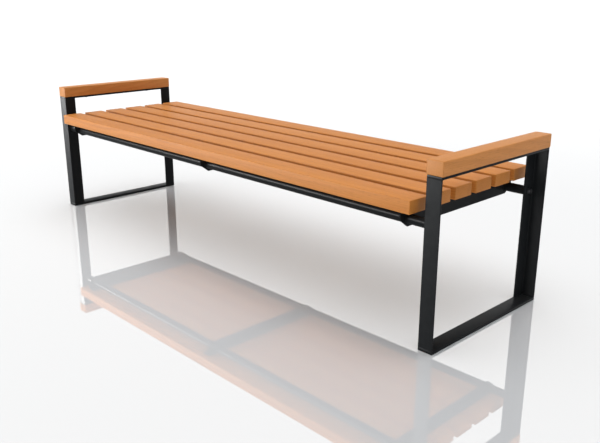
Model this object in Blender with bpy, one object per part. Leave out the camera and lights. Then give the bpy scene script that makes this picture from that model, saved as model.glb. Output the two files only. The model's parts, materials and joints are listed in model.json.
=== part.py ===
"""Backless street bench with two steel end frames, wooden armrests and a slatted seat.

Each end frame is a hoop of two steel angles welded to a flat bottom rail and a flat top rail. Two round
tubes tie the hoops together. Three folded steel cross members ride on the tubes and carry six slats.

Metres, +Z up. X runs along the bench, Y from its front to its back, and the origin is on the floor
under the middle of the seat. Places are worked out from the middle of the end frames, and each piece
is then shifted by the same amount, because the slats stand out more at the front than at the back.
"""
import math

import bmesh
import bpy
from mathutils import Matrix

# Fits
TOUCH_GAP = 0.0003           # between two faces that rest on each other
HOLE_CLEARANCE = 0.0005      # between a screw or a bolt and the hole around it, on the radius

# Overall sizes
FRAME_LENGTH = 2.170         # over the outer faces of the two end frames
FRAME_DEPTH = 0.576          # over the front and rear posts
FRAME_HEIGHT = 0.525         # floor to the top of the top rail
SEAT_HEIGHT = 0.450          # floor to the top of the slats

# End frames
ANGLE_LEG = 0.050            # both legs of the equal angle, and the width of the rails
ANGLE_WALL = 0.006
ANGLE_ROOT_RADIUS = 0.006
ANGLE_TOE_RADIUS = 0.003
BOTTOM_RAIL_THICKNESS = 0.010
TOP_RAIL_THICKNESS = 0.008
RAIL_EDGE_RADIUS = 0.001

# Armrests
ARMREST_WIDTH = 0.056
ARMREST_THICKNESS = 0.044
ARMREST_EDGE_RADIUS = 0.0025
ARMREST_SCREW_INSET = 0.120  # from the frame's front or rear face to a screw

# Slats
SLAT_COUNT = 6
SLAT_WIDTH = 0.085
SLAT_THICKNESS = 0.040
SLAT_EDGE_RADIUS = 0.0025
SEAT_FRONT_OVERHANG = 0.030  # front slat past the front of the frame
SEAT_REAR_OVERHANG = 0.021   # rear slat past the back of the frame
SLAT_END_GAP = 0.030         # from a slat's end to the posts

# Tubes
TUBE_DIAMETER = 0.030
TUBE_WALL = 0.0026
TUBE_INSET = 0.0277          # from the frame's front or rear face to the tube's axis
TUBE_DROP = 0.032            # from the underside of the slats to the tube's axis
TUBE_SIDES = 32

# Cross members
CROSS_WALL = 0.005
CROSS_FLANGE = 0.040         # the flat leg under the slats
CROSS_DROP = 0.057           # the upright leg, down from the underside of the slats
CROSS_NOSE = 0.0335          # from a tube's axis to the end of the cross member
CROSS_CORNER_RADIUS = 0.004
CROSS_END_INSET = 0.048      # from the slats' ends to the backs of the outer cross members' upright legs
CROSS_LEG_OFFSET = 0.016     # from the bench's middle to the back of the middle one's upright leg

# Fasteners
SLAT_SCREW_DIAMETER = 0.006
SLAT_SCREW_GRIP = 0.028      # length inside the slat
SLAT_SCREW_HEAD_DIAMETER = 0.0125
SLAT_SCREW_HEAD_HEIGHT = 0.0036
ARMREST_SCREW_DIAMETER = 0.008
ARMREST_SCREW_GRIP = 0.030   # length inside the armrest
ARMREST_SCREW_HEAD_DIAMETER = 0.016
ARMREST_SCREW_HEAD_HEIGHT = 0.0045
BOLT_DIAMETER = 0.010
BOLT_GRIP = 0.020            # length inside the tube's plug
BOLT_HEAD_ACROSS_FLATS = 0.017
BOLT_HEAD_HEIGHT = 0.0065
WASHER_DIAMETER = 0.021
WASHER_THICKNESS = 0.002
PLUG_LENGTH = 0.026
ROUND_SIDES = 16             # sides of a screw, a bolt or a hole

# Places worked out from the sizes above
POST_INNER_X = FRAME_LENGTH / 2 - ANGLE_LEG
SLAT_END_X = POST_INNER_X - SLAT_END_GAP
SLAT_LENGTH = 2 * SLAT_END_X
SLAT_UNDERSIDE = SEAT_HEIGHT - SLAT_THICKNESS
FRAME_SHIFT = (SEAT_FRONT_OVERHANG - SEAT_REAR_OVERHANG) / 2
SEAT_DEPTH = SEAT_FRONT_OVERHANG + FRAME_DEPTH + SEAT_REAR_OVERHANG
SLAT_PITCH = (SEAT_DEPTH - SLAT_WIDTH) / (SLAT_COUNT - 1)
TUBE_AXIS_Y = FRAME_DEPTH / 2 - TUBE_INSET
TUBE_AXIS_Z = SLAT_UNDERSIDE - TUBE_DROP
CROSS_TOP = SLAT_UNDERSIDE - TOUCH_GAP
CROSS_BOTTOM = SLAT_UNDERSIDE - CROSS_DROP
CROSS_END_Y = TUBE_AXIS_Y + CROSS_NOSE
CROSS_OUTER_X = SLAT_END_X - CROSS_END_INSET
CROSS_SCREW_SETBACK = (CROSS_FLANGE + CROSS_WALL) / 2

WOOD = ("oiled_wood", (0.60, 0.30, 0.12), 0.55, 0.0)
STEEL = ("powder_coated_steel", (0.030, 0.032, 0.035), 0.45, 0.3)
ZINC = ("zinc_plated_steel", (0.55, 0.56, 0.57), 0.35, 1.0)


def clear_scene():
    """Remove whatever the scene holds."""
    for old in list(bpy.data.objects):
        bpy.data.objects.remove(old, do_unlink=True)


def material(finish):
    """Return the material of a finish, made on its first use."""
    name, colour, roughness, metallic = finish
    found = bpy.data.materials.get(name)
    if found:
        return found
    made = bpy.data.materials.new(name)
    made.use_nodes = True
    shader = made.node_tree.nodes["Principled BSDF"]
    shader.inputs["Base Color"].default_value = (*colour, 1.0)
    shader.inputs["Roughness"].default_value = roughness
    shader.inputs["Metallic"].default_value = metallic
    return made


def add_object(name, mesh_builder, finish, place=Matrix.Identity(4)):
    """Turn a bmesh into a named object, moved to its place."""
    mesh_builder.transform(Matrix.Translation((0.0, FRAME_SHIFT, 0.0)) @ place)
    bmesh.ops.recalc_face_normals(mesh_builder, faces=mesh_builder.faces)
    mesh = bpy.data.meshes.new(name)
    mesh_builder.to_mesh(mesh)
    mesh_builder.free()
    mesh.materials.append(material(finish))
    made = bpy.data.objects.new(name, mesh)
    bpy.context.scene.collection.objects.link(made)
    return made


def box(low, high, edge_radius=0.0, segments=2):
    """Return a bmesh box between two corners, its edges rounded."""
    made = bmesh.new()
    bmesh.ops.create_cube(made, size=1.0)
    for vertex in made.verts:
        vertex.co = [a + (b - a) * (c + 0.5) for a, b, c in zip(low, high, vertex.co)]
    if edge_radius:
        bmesh.ops.bevel(made, geom=made.edges[:], offset=edge_radius, segments=segments,
                        profile=0.5, affect="EDGES")
    return made


def extruded(outline, length):
    """Return a bmesh prism: a closed outline in the local XY plane, extruded up local Z."""
    made = bmesh.new()
    face = made.faces.new([made.verts.new((x, y, 0.0)) for x, y in outline])
    grown = bmesh.ops.extrude_face_region(made, geom=[face])["geom"]
    moved = [item for item in grown if isinstance(item, bmesh.types.BMVert)]
    bmesh.ops.translate(made, verts=moved, vec=(0.0, 0.0, length))
    return made


def turned(profile, sides=ROUND_SIDES):
    """Return a bmesh turned about local Z from (radius, height) points, closed top and bottom."""
    made = bmesh.new()
    rings = []
    for radius, height in profile:
        if radius == 0.0:
            rings.append([made.verts.new((0.0, 0.0, height))])
            continue
        steps = [2 * math.pi * step / sides for step in range(sides)]
        rings.append([made.verts.new((radius * math.cos(a), radius * math.sin(a), height)) for a in steps])
    for below, above in zip(rings, rings[1:]):
        for step in range(sides):
            following = (step + 1) % sides
            corners = [below[step % len(below)], below[following % len(below)],
                       above[following % len(above)], above[step % len(above)]]
            made.faces.new(list(dict.fromkeys(corners)))
    for ring in (rings[0], rings[-1]):
        if len(ring) > 1:
            made.faces.new(ring)
    return made


def ring_solid(outer_radius, inner_radius, length, sides):
    """Return a bmesh ring with square edges about local Z, starting at height zero."""
    made = bmesh.new()
    corners = ((outer_radius, 0.0), (outer_radius, length), (inner_radius, length), (inner_radius, 0.0))
    rings = []
    for radius, height in corners:
        steps = [2 * math.pi * step / sides for step in range(sides)]
        rings.append([made.verts.new((radius * math.cos(a), radius * math.sin(a), height)) for a in steps])
    for index, ring in enumerate(rings):
        following_ring = rings[(index + 1) % len(rings)]
        for step in range(sides):
            following = (step + 1) % sides
            made.faces.new((ring[step], ring[following], following_ring[following], following_ring[step]))
    return made


def arc(centre, radius, start, end, steps):
    """Return points on an arc, its angles in degrees."""
    points = []
    for step in range(steps + 1):
        angle = math.radians(start + (end - start) * step / steps)
        points.append((centre[0] + radius * math.cos(angle), centre[1] + radius * math.sin(angle)))
    return points


def rounded(corners, radii, steps=3):
    """Return an outline whose corners are rounded, each to its own radius."""
    outline = []
    count = len(corners)
    for index, (corner, radius) in enumerate(zip(corners, radii)):
        before, after = corners[index - 1], corners[(index + 1) % count]
        if radius == 0.0:
            outline.append(corner)
            continue
        to_before = (before[0] - corner[0], before[1] - corner[1])
        to_after = (after[0] - corner[0], after[1] - corner[1])
        size_before, size_after = math.hypot(*to_before), math.hypot(*to_after)
        unit_before = (to_before[0] / size_before, to_before[1] / size_before)
        unit_after = (to_after[0] / size_after, to_after[1] / size_after)
        cosine = unit_before[0] * unit_after[0] + unit_before[1] * unit_after[1]
        half = math.acos(max(-1.0, min(1.0, cosine))) / 2
        bisector = (unit_before[0] + unit_after[0], unit_before[1] + unit_after[1])
        size = math.hypot(*bisector)
        reach = radius / math.sin(half)
        centre = (corner[0] + bisector[0] / size * reach, corner[1] + bisector[1] / size * reach)
        setback = radius / math.tan(half)
        first = (corner[0] + unit_before[0] * setback, corner[1] + unit_before[1] * setback)
        last = (corner[0] + unit_after[0] * setback, corner[1] + unit_after[1] * setback)
        start = math.degrees(math.atan2(first[1] - centre[1], first[0] - centre[0]))
        end = math.degrees(math.atan2(last[1] - centre[1], last[0] - centre[0]))
        sweep = (end - start + 180.0) % 360.0 - 180.0
        outline.extend(arc(centre, radius, start, start + sweep, steps))
    return outline


def cut(target, cutters):
    """Cut closed shapes, none touching another, out of an object."""
    joined = bmesh.new()
    for cutter in cutters:
        passing = bpy.data.meshes.new("cutter_shape")
        cutter.to_mesh(passing)
        cutter.free()
        joined.from_mesh(passing)
        bpy.data.meshes.remove(passing)
    boolean(target, add_object(f"{target.name}_cutter", joined, STEEL), "DIFFERENCE")


def boolean(target, tool, operation):
    """Add a Boolean modifier, its tool kept out of sight."""
    tool.hide_render = True
    tool.display_type = "WIRE"
    modifier = target.modifiers.new(operation.lower(), "BOOLEAN")
    modifier.operation = operation
    modifier.solver = "EXACT"
    modifier.object = tool


def shade_round(made):
    """Shade a round piece smooth, with its sharp edges kept."""
    made.data.shade_smooth()
    made.data.set_sharp_from_angle(angle=math.radians(40))


def hole_along_x(y, z, radius, low_x, high_x, sides=ROUND_SIDES):
    """Return a cutter along X, its sides set like those of a pin turned about X."""
    made = turned([(radius, 0.0), (radius, high_x - low_x)], sides)
    made.transform(along_x(low_x, y, z))
    return made


def hole_along_z(x, y, radius, low_z, high_z):
    """Return a cutter along Z."""
    made = turned([(radius, 0.0), (radius, high_z - low_z)])
    made.transform(Matrix.Translation((x, y, low_z)))
    return made


def along_x(x, y, z, direction=1):
    """Return the matrix that lays local Z along X, towards +X or -X, from a point."""
    return Matrix.Translation((x, y, z)) @ Matrix.Rotation(math.radians(90) * direction, 4, "Y")


def slat_centres():
    """Return the Y of each slat's middle, from front to rear."""
    first = -FRAME_DEPTH / 2 - SEAT_FRONT_OVERHANG + SLAT_WIDTH / 2
    return [first + index * SLAT_PITCH for index in range(SLAT_COUNT)]


def cross_members():
    """Return each cross member's name, the X of its upright leg's back, and the way that back looks."""
    return [("left", -CROSS_OUTER_X, -1), ("middle", CROSS_LEG_OFFSET, 1), ("right", CROSS_OUTER_X, 1)]


def slat_screw_rows():
    """Return each cross member's name and the X of its row of slat screws."""
    return [(name, back_x - out * CROSS_SCREW_SETBACK) for name, back_x, out in cross_members()]


def add_post(end_name, end, side_name, side):
    """Add one angle post; end is -1 or 1 along X, side is -1 at the front and 1 at the rear."""
    corners = [(0.0, 0.0), (ANGLE_LEG, 0.0), (ANGLE_LEG, ANGLE_WALL), (ANGLE_WALL, ANGLE_WALL),
               (ANGLE_WALL, ANGLE_LEG), (0.0, ANGLE_LEG)]
    radii = [0.0, 0.0, ANGLE_TOE_RADIUS, ANGLE_ROOT_RADIUS, ANGLE_TOE_RADIUS, 0.0]
    low_z = BOTTOM_RAIL_THICKNESS + TOUCH_GAP
    high_z = FRAME_HEIGHT - TOP_RAIL_THICKNESS - TOUCH_GAP
    outline = [(end * (POST_INNER_X + x), side * (FRAME_DEPTH / 2 - y)) for x, y in rounded(corners, radii)]
    post = add_object(f"{end_name}_{side_name}_post", extruded(outline, high_z - low_z), STEEL,
                      Matrix.Translation((0.0, 0.0, low_z)))
    middle_x = end * (POST_INNER_X + ANGLE_WALL / 2)
    hole = hole_along_x(side * TUBE_AXIS_Y, TUBE_AXIS_Z, BOLT_DIAMETER / 2 + HOLE_CLEARANCE,
                        middle_x - ANGLE_WALL, middle_x + ANGLE_WALL)
    cut(post, [hole])
    return post


def armrest_screw_places(end):
    """Return the X and Y of the two screws that hold an armrest."""
    reach = FRAME_DEPTH / 2 - ARMREST_SCREW_INSET
    return [("front", end * (POST_INNER_X + ANGLE_LEG / 2), -reach),
            ("rear", end * (POST_INNER_X + ANGLE_LEG / 2), reach)]


def add_rails(end_name, end):
    """Add the bottom rail, which lies on the floor, and the top rail under the armrest."""
    low_x, high_x = sorted((end * POST_INNER_X, end * FRAME_LENGTH / 2))
    half_depth = FRAME_DEPTH / 2
    add_object(f"{end_name}_bottom_rail", box((low_x, -half_depth, 0.0),
               (high_x, half_depth, BOTTOM_RAIL_THICKNESS), RAIL_EDGE_RADIUS), STEEL)
    top_low = FRAME_HEIGHT - TOP_RAIL_THICKNESS
    top_rail = add_object(f"{end_name}_top_rail", box((low_x, -half_depth, top_low),
                          (high_x, half_depth, FRAME_HEIGHT), RAIL_EDGE_RADIUS), STEEL)
    radius = ARMREST_SCREW_DIAMETER / 2 + HOLE_CLEARANCE
    cut(top_rail, [hole_along_z(x, y, radius, top_low - TOP_RAIL_THICKNESS, FRAME_HEIGHT + TOP_RAIL_THICKNESS)
                   for _, x, y in armrest_screw_places(end)])


def add_armrest(end_name, end):
    """Add a wooden armrest with pilot holes for its two screws."""
    middle_x = end * (POST_INNER_X + ANGLE_LEG / 2)
    low_z = FRAME_HEIGHT + TOUCH_GAP
    armrest = add_object(f"{end_name}_armrest", box(
        (middle_x - ARMREST_WIDTH / 2, -FRAME_DEPTH / 2, low_z),
        (middle_x + ARMREST_WIDTH / 2, FRAME_DEPTH / 2, FRAME_HEIGHT + ARMREST_THICKNESS),
        ARMREST_EDGE_RADIUS), WOOD)
    radius = ARMREST_SCREW_DIAMETER / 2 + HOLE_CLEARANCE
    top = low_z + ARMREST_SCREW_GRIP + HOLE_CLEARANCE
    cut(armrest, [hole_along_z(x, y, radius, low_z - ARMREST_EDGE_RADIUS, top)
                  for _, x, y in armrest_screw_places(end)])


def wood_screw(diameter, length, head_diameter, head_height):
    """Return a pointed wood screw with a domed head; its head rests against local zero, shank up."""
    radius, head_radius = diameter / 2, head_diameter / 2
    return turned([(0.0, -head_height), (head_radius * 0.55, -head_height * 0.85),
                   (head_radius * 0.9, -head_height * 0.45), (head_radius, 0.0),
                   (radius, 0.0), (radius, length - diameter), (0.0, length)])


def add_armrest_screws(end_name, end):
    """Add the two screws that come up through the top rail into the armrest."""
    seat_z = FRAME_HEIGHT - TOP_RAIL_THICKNESS - TOUCH_GAP
    length = ARMREST_SCREW_GRIP + TOP_RAIL_THICKNESS + 2 * TOUCH_GAP
    for side_name, x, y in armrest_screw_places(end):
        screw = wood_screw(ARMREST_SCREW_DIAMETER, length, ARMREST_SCREW_HEAD_DIAMETER,
                           ARMREST_SCREW_HEAD_HEIGHT)
        shade_round(add_object(f"{end_name}_armrest_screw_{side_name}", screw, ZINC,
                               Matrix.Translation((x, y, seat_z))))


def add_end_frame(end_name, end):
    """Add the steel hoop of one end, with its armrest."""
    for side_name, side in (("front", -1), ("rear", 1)):
        add_post(end_name, end, side_name, side)
    add_rails(end_name, end)
    add_armrest(end_name, end)
    add_armrest_screws(end_name, end)


def add_tube(side_name, side):
    """Add one round tube that ties the two end frames together."""
    half_length = POST_INNER_X - TOUCH_GAP
    radius = TUBE_DIAMETER / 2
    tube = add_object(f"{side_name}_tube", ring_solid(radius, radius - TUBE_WALL, 2 * half_length, TUBE_SIDES),
                      STEEL, along_x(-half_length, side * TUBE_AXIS_Y, TUBE_AXIS_Z))
    shade_round(tube)


def add_tube_fixing(end_name, end, side_name, side):
    """Add the tapped plug in a tube's end, with the bolt and washer that hold it to the post."""
    name = f"{end_name}_{side_name}"
    y = side * TUBE_AXIS_Y
    tube_end = POST_INNER_X - TOUCH_GAP
    plug_radius = TUBE_DIAMETER / 2 - TUBE_WALL - TOUCH_GAP
    plug = ring_solid(plug_radius, BOLT_DIAMETER / 2 + HOLE_CLEARANCE, PLUG_LENGTH, TUBE_SIDES)
    shade_round(add_object(f"{name}_tube_plug", plug, ZINC, along_x(end * tube_end, y, TUBE_AXIS_Z, -end)))
    washer_x = POST_INNER_X + ANGLE_WALL + TOUCH_GAP
    washer = ring_solid(WASHER_DIAMETER / 2, BOLT_DIAMETER / 2 + HOLE_CLEARANCE, WASHER_THICKNESS, TUBE_SIDES)
    shade_round(add_object(f"{name}_tube_washer", washer, ZINC, along_x(end * washer_x, y, TUBE_AXIS_Z, end)))
    head_x = washer_x + WASHER_THICKNESS + TOUCH_GAP
    shade_round(add_object(f"{name}_tube_bolt", hex_bolt(head_x - POST_INNER_X + BOLT_GRIP), ZINC,
                           along_x(end * head_x, y, TUBE_AXIS_Z, end)))


def hex_bolt(length):
    """Return a hexagon bolt about local Z: its head from zero up, its shank down from zero."""
    corner_radius = BOLT_HEAD_ACROSS_FLATS / math.sqrt(3)
    flat_radius = BOLT_HEAD_ACROSS_FLATS / 2
    shank_radius = BOLT_DIAMETER / 2
    sides = 24
    made = bmesh.new()
    sections = ((shank_radius * 0.8, -length, False), (shank_radius, -length + shank_radius * 0.3, False),
                (shank_radius, 0.0, False), (corner_radius, 0.0, True),
                (corner_radius, BOLT_HEAD_HEIGHT * 0.82, True), (flat_radius * 0.92, BOLT_HEAD_HEIGHT, False))
    rings = []
    for radius, height, hexagonal in sections:
        ring = []
        for step in range(sides):
            angle = 2 * math.pi * step / sides
            reach = radius
            if hexagonal:
                past_corner = (angle + math.pi / 6) % (math.pi / 3) - math.pi / 6
                reach = flat_radius / math.cos(math.pi / 6 - abs(past_corner))
            ring.append(made.verts.new((reach * math.cos(angle), reach * math.sin(angle), height)))
        rings.append(ring)
    for below, above in zip(rings, rings[1:]):
        for step in range(sides):
            following = (step + 1) % sides
            made.faces.new((below[step], below[following], above[following], above[step]))
    made.faces.new(rings[0])
    made.faces.new(rings[-1])
    return made


def cross_member_outline():
    """Return the side view of a cross member's upright leg, as Y and Z: a bar with clipped lower corners."""
    corners = [(-CROSS_END_Y, CROSS_TOP), (-CROSS_END_Y, TUBE_AXIS_Z), (-TUBE_AXIS_Y, CROSS_BOTTOM),
               (TUBE_AXIS_Y, CROSS_BOTTOM), (CROSS_END_Y, TUBE_AXIS_Z), (CROSS_END_Y, CROSS_TOP)]
    radius = CROSS_CORNER_RADIUS
    return rounded(corners, [0.0, radius, radius, radius, radius, 0.0])


def add_cross_member(name, back_x, out):
    """Add one folded cross member: an upright leg that the tubes pass through, and a flat leg on top."""
    upright = extruded([(-z, y) for y, z in cross_member_outline()], CROSS_WALL)
    member = add_object(f"{name}_cross_member", upright, STEEL,
                        along_x(min(back_x, back_x - out * CROSS_WALL), 0.0, 0.0))
    flat_x = sorted((back_x - out * CROSS_FLANGE, back_x - out * CROSS_WALL / 2))
    flat_leg = box((flat_x[0], -CROSS_END_Y, CROSS_TOP - CROSS_WALL), (flat_x[1], CROSS_END_Y, CROSS_TOP))
    boolean(member, add_object(f"{name}_cross_member_flat_leg", flat_leg, STEEL), "UNION")
    holes = [hole_along_x(side * TUBE_AXIS_Y, TUBE_AXIS_Z, TUBE_DIAMETER / 2 + TOUCH_GAP,
                          back_x - 2 * CROSS_WALL, back_x + 2 * CROSS_WALL, TUBE_SIDES) for side in (-1, 1)]
    screw_x = back_x - out * CROSS_SCREW_SETBACK
    radius = SLAT_SCREW_DIAMETER / 2 + HOLE_CLEARANCE
    holes += [hole_along_z(screw_x, y, radius, CROSS_TOP - 2 * CROSS_WALL, CROSS_TOP + CROSS_WALL)
              for y in slat_centres()]
    cut(member, holes)


def slat_name(index):
    """Return the name of a slat, counted from the front."""
    ends = {0: "slat_1_front", SLAT_COUNT - 1: f"slat_{SLAT_COUNT}_rear"}
    return ends.get(index, f"slat_{index + 1}")


def add_slats():
    """Add the wooden slats, each with a pilot hole over every cross member."""
    radius = SLAT_SCREW_DIAMETER / 2 + HOLE_CLEARANCE
    top = SLAT_UNDERSIDE + SLAT_SCREW_GRIP + HOLE_CLEARANCE
    for index, y in enumerate(slat_centres()):
        slat = add_object(slat_name(index), box(
            (-SLAT_END_X, y - SLAT_WIDTH / 2, SLAT_UNDERSIDE), (SLAT_END_X, y + SLAT_WIDTH / 2, SEAT_HEIGHT),
            SLAT_EDGE_RADIUS), WOOD)
        cut(slat, [hole_along_z(x, y, radius, SLAT_UNDERSIDE - SLAT_EDGE_RADIUS, top)
                   for _, x in slat_screw_rows()])


def add_slat_screws():
    """Add the screws that come up through the cross members into the slats."""
    seat_z = CROSS_TOP - CROSS_WALL - TOUCH_GAP
    length = SLAT_SCREW_GRIP + CROSS_WALL + 2 * TOUCH_GAP
    for name, x in slat_screw_rows():
        for index, y in enumerate(slat_centres()):
            screw = wood_screw(SLAT_SCREW_DIAMETER, length, SLAT_SCREW_HEAD_DIAMETER, SLAT_SCREW_HEAD_HEIGHT)
            shade_round(add_object(f"{name}_slat_screw_{index + 1}", screw, ZINC,
                                   Matrix.Translation((x, y, seat_z))))


def main():
    """Build the whole bench."""
    clear_scene()
    for end_name, end in (("left", -1), ("right", 1)):
        add_end_frame(end_name, end)
        for side_name, side in (("front", -1), ("rear", 1)):
            add_tube_fixing(end_name, end, side_name, side)
    for side_name, side in (("front", -1), ("rear", 1)):
        add_tube(side_name, side)
    for name, back_x, out in cross_members():
        add_cross_member(name, back_x, out)
    add_slats()
    add_slat_screws()


main()
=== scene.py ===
"""Looks of a backless street bench: oiled hardwood slats and armrests on two powder-coated steel hoops.

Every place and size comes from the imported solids. X runs along the bench, -Y is its front, +Z is up.
"""

import json
import logging
import math
from collections.abc import Iterable, Sequence
from dataclasses import dataclass, field
from enum import Enum

import bmesh
import bpy
from mathutils import Euler, Matrix, Vector

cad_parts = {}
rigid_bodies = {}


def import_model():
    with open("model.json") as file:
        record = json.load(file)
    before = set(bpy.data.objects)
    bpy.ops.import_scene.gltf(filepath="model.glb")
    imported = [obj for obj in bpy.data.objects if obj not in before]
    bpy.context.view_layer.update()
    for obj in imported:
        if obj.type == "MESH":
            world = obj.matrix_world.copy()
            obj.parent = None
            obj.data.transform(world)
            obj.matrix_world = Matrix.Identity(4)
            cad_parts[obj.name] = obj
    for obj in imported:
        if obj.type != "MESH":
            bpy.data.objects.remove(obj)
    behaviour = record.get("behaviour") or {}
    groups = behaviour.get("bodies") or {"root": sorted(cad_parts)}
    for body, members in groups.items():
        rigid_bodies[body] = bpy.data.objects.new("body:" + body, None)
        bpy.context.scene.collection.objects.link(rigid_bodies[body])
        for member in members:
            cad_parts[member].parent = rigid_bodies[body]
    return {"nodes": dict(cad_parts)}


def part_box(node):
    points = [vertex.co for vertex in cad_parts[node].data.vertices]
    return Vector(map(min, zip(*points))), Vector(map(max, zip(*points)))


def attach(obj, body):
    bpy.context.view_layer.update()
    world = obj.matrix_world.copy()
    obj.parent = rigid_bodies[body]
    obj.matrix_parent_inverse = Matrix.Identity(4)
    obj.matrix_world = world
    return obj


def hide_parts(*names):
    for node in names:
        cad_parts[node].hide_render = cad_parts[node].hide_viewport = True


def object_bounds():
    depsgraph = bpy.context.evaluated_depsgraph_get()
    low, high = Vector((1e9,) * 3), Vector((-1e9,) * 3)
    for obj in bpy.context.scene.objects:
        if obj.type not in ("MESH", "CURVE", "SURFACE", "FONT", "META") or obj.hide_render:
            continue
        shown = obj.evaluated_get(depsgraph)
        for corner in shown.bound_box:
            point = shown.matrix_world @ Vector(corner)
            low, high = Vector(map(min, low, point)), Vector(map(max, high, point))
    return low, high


log = logging.getLogger("bench")
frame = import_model()
CAD_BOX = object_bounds()
XY_ONTO_YZ = Matrix(((0, 0, 1, 0), (1, 0, 0, 0), (0, 1, 0, 0), (0, 0, 0, 1)))

BODY = "root"
ENDS = {"left": -1, "right": 1}
SIDES = {"front": -1, "rear": 1}
MEMBERS = ("left", "middle", "right")
SLATS = ("slat_1_front", "slat_2", "slat_3", "slat_4", "slat_5", "slat_6_rear")

Point2 = tuple[float, float]
Point3 = tuple[float, float, float]
Colour = tuple[float, float, float]


class Slot(Enum):
    """The record's material slots."""

    WOOD = "wood"
    STEEL = "steel"
    FASTENER = "zinc"


class Grain(Enum):
    """Which way a board's grain runs, as the turn that brings it onto X."""

    ALONG_X = 0.0
    ALONG_Y = 90.0


# ---- node tools


class Tree:
    """A thin writer for one node tree."""

    def __init__(self, tree: bpy.types.NodeTree) -> None:
        """Keep the tree that is written to."""
        self.tree = tree

    def add(self, kind: str, settings: dict | None = None, **inputs) -> bpy.types.Node:
        """Add a node.

        Args:
            kind: the node's Blender type.
            settings: the node's own properties.
            **inputs: values or sockets, by input name with _ for a space, or i and its number.

        Returns:
            The new node.
        """
        node = self.tree.nodes.new(kind)
        for key, value in (settings or {}).items():
            setattr(node, key, value)
        for key, value in inputs.items():
            numbered = key[0] == "i" and key[1:].isdigit()
            socket = node.inputs[int(key[1:])] if numbered else node.inputs[key.replace("_", " ")]
            if isinstance(value, bpy.types.NodeSocket):
                self.link(value, socket)
            else:
                socket.default_value = value
        return node

    def math(self, operation: str, *values, clamp: bool = False) -> bpy.types.NodeSocket:
        """Return the result of a Math node on one to three values or sockets."""
        node = self.add("ShaderNodeMath", {"operation": operation, "use_clamp": clamp},
                        **{f"i{index}": value for index, value in enumerate(values)})
        return node.outputs[0]

    def vector(self, operation: str, *values) -> bpy.types.NodeSocket:
        """Return the vector result of a Vector Math node."""
        node = self.add("ShaderNodeVectorMath", {"operation": operation},
                        **{f"i{index}": value for index, value in enumerate(values)})
        return node.outputs[0]

    def noise(self, vector: bpy.types.NodeSocket, scale: float, detail: float = 2.0,
              rough: float = 0.5) -> bpy.types.NodeSocket:
        """Return the value of a Noise texture."""
        return self.add("ShaderNodeTexNoise", {}, Vector=vector, Scale=scale, Detail=detail,
                        Roughness=rough).outputs[0]

    def ramp(self, value: bpy.types.NodeSocket, low: float, high: float, to_low: float = 0.0,
             to_high: float = 1.0) -> bpy.types.NodeSocket:
        """Return a value mapped smoothly from one range to another, clamped."""
        node = self.add("ShaderNodeMapRange", {"interpolation_type": "SMOOTHSTEP"}, i0=value)
        for index, number in enumerate((low, high, to_low, to_high), start=1):
            node.inputs[index].default_value = number
        return node.outputs[0]

    def link(self, value: bpy.types.NodeSocket, socket: bpy.types.NodeSocket) -> None:
        """Link a node's output to another's input."""
        self.tree.links.new(value, socket)

    def mix(self, factor: bpy.types.NodeSocket, first, second) -> bpy.types.NodeSocket:
        """Return two colours, each a socket or a value, mixed by a factor."""
        node = self.add("ShaderNodeMix", {"data_type": "RGBA"})
        for index, value in ((0, factor), (6, first), (7, second)):
            if isinstance(value, bpy.types.NodeSocket):
                self.link(value, node.inputs[index])
            else:
                node.inputs[index].default_value = (*value, 1.0)
        return node.outputs[2]


def new_group(name: str, kind: str, inputs: Sequence[tuple], outputs: Sequence[tuple]
              ) -> tuple[bpy.types.NodeTree, Tree, bpy.types.Node, bpy.types.Node]:
    """Make a node group with named sockets.

    Args:
        name: the group's name.
        kind: ShaderNodeTree or GeometryNodeTree.
        inputs: (name, socket type, default) for each input.
        outputs: (name, socket type) for each output.

    Returns:
        The tree, its writer, its input node and its output node.
    """
    tree = bpy.data.node_groups.new(name, kind)
    for socket_name, socket_type, default in inputs:
        socket = tree.interface.new_socket(socket_name, in_out="INPUT", socket_type=socket_type)
        if default is not None:
            socket.default_value = default
    for socket_name, socket_type in outputs:
        tree.interface.new_socket(socket_name, in_out="OUTPUT", socket_type=socket_type)
    writer = Tree(tree)
    return tree, writer, writer.add("NodeGroupInput"), writer.add("NodeGroupOutput")


FLOAT, VECTOR, GEOMETRY = "NodeSocketFloat", "NodeSocketVector", "NodeSocketGeometry"
INTEGER, MATERIAL = "NodeSocketInt", "NodeSocketMaterial"


# ---- shared effects


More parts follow.
